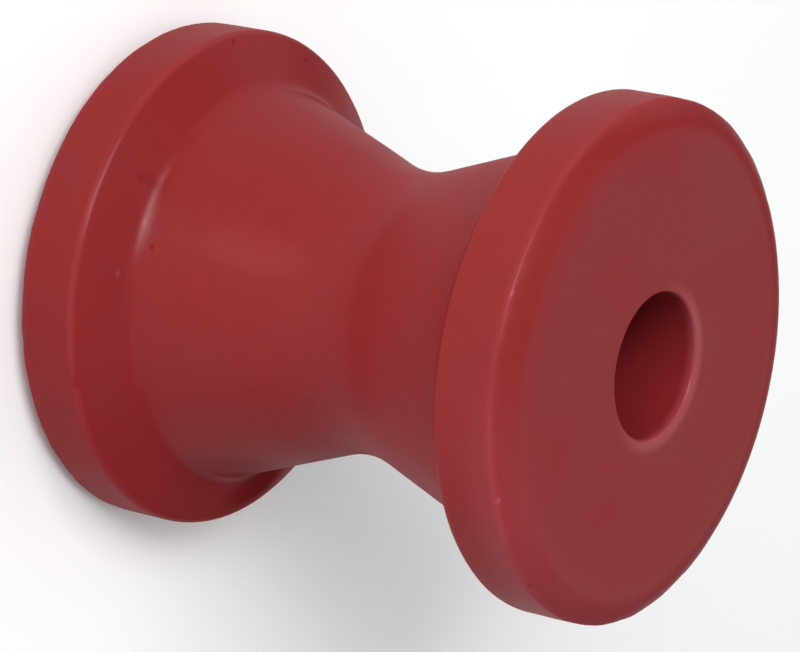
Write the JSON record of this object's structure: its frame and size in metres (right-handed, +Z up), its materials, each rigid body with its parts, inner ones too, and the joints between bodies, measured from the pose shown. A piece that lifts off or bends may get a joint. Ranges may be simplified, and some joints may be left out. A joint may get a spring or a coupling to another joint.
{
  "type": "boat trailer roller",
  "caption": "Hourglass keel and bow roller of red moulded polyurethane, with a flange at each end, a rounded waist and a plain spindle bore.",
  "frame": {"origin": "centre of the lower end face, on the bore axis; the roller stands on that face", "axes": "+Z up along the bore axis, towards the end face that the picture shows; the roller is round, so +X and +Y are any two directions square to it"},
  "size_m": [0.065, 0.065, 0.075],
  "materials": {
    "polyurethane": "moulded polyurethane, semi-matt, even dull red"
  },
  "bodies": {
    "root": {"roller": "polyurethane"}
  },
  "joints": []
}
